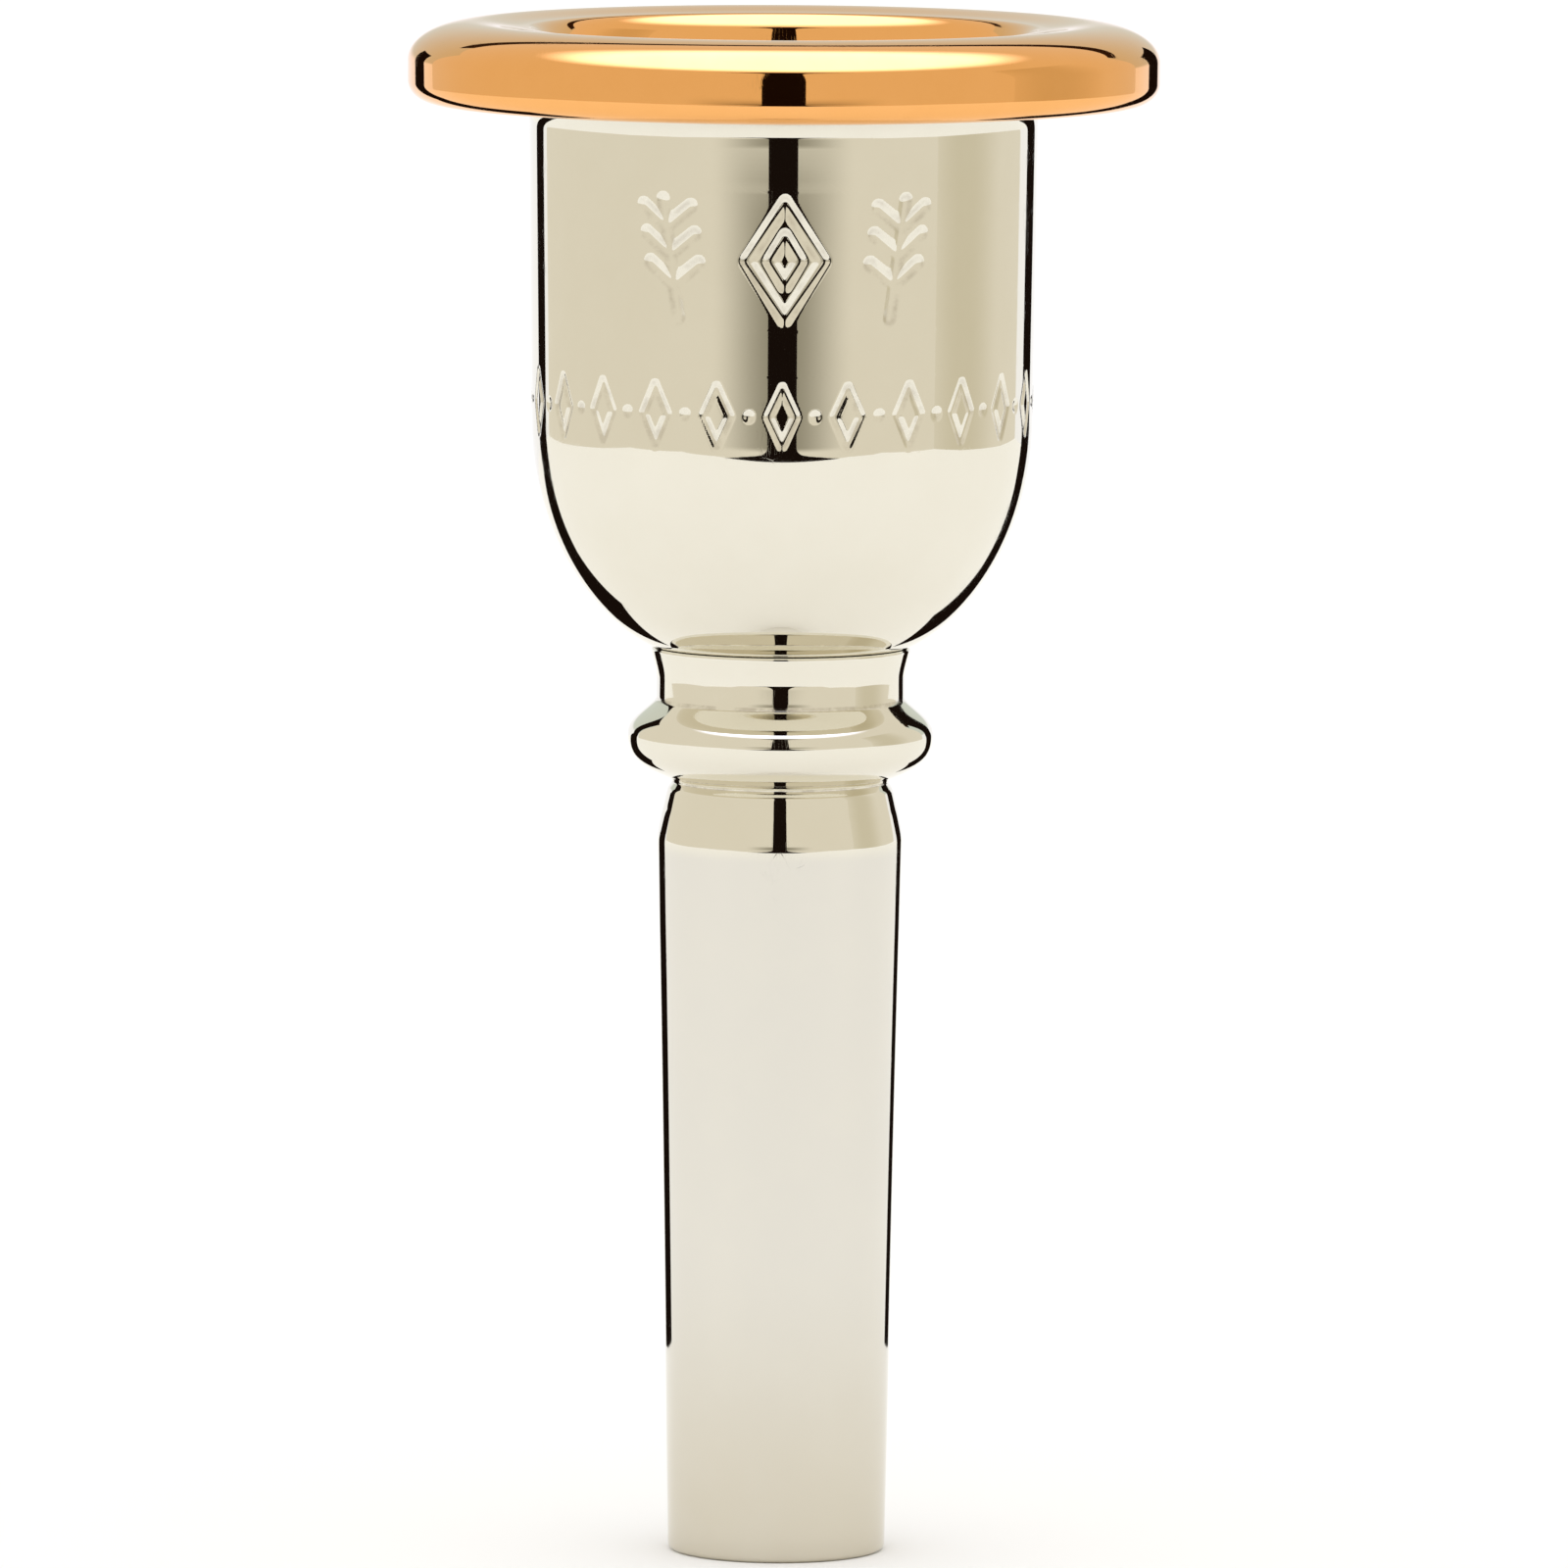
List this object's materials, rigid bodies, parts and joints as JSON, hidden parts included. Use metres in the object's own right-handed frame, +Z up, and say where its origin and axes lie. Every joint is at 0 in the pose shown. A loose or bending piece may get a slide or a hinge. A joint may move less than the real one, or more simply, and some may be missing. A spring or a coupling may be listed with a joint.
{
  "type": "brass instrument mouthpiece",
  "caption": "Cup mouthpiece for a low brass instrument: a flat rim over a deep bowl, a beaded waist and a tapered shank, which unscrew from each other.",
  "frame": {"origin": "centre of the shank's flat end face, on the bore's axis", "axes": "+Z up the bore from the shank's end to the rim; +X and +Y are square to it, with the front that the picture shows towards -Y"},
  "size_m": [0.039, 0.039, 0.0798],
  "materials": {
    "shank_silver_plate": "silver-plated brass, polished",
    "shank_seal_rubber": "matte moulded rubber",
    "cup_silver_plate": "silver-plated brass, polished, gold-washed inside the bowl",
    "rim_seal_rubber": "matte moulded rubber",
    "rim_gold_plate": "gold-plated brass, polished"
  },
  "bodies": {
    "shank": {"shank": "shank_silver_plate"},
    "lower_seal": {"shank_seal_ring": "shank_seal_rubber"},
    "cup": {"cup": "cup_silver_plate"},
    "upper_seal": {"rim_seal_ring": "rim_seal_rubber"},
    "rim": {"rim": "rim_gold_plate"}
  },
  "joints": [
    {"name": "cup_lift", "type": "slide", "parent": "shank", "child": "lower_seal", "axis": [0, 0, 1], "range_m": [0, 0.005]},
    {"name": "cup_turn", "type": "hinge", "parent": "lower_seal", "child": "cup", "pos_m": [0, 0, 0.0501], "axis": [0, 0, 1], "range_deg": [0, 1800]},
    {"name": "rim_lift", "type": "slide", "parent": "cup", "child": "upper_seal", "axis": [0, 0, 1], "range_m": [0, 0.0015]},
    {"name": "rim_turn", "type": "hinge", "parent": "upper_seal", "child": "rim", "pos_m": [0, 0, 0.0766], "axis": [0, 0, 1], "range_deg": [0, 720]}
  ],
  "couplings": [
    {"joint": "cup_lift", "follows": "cup_turn", "m_per_rad": 0.00015915},
    {"joint": "rim_lift", "follows": "rim_turn", "m_per_rad": 0.00011937}
  ]
}
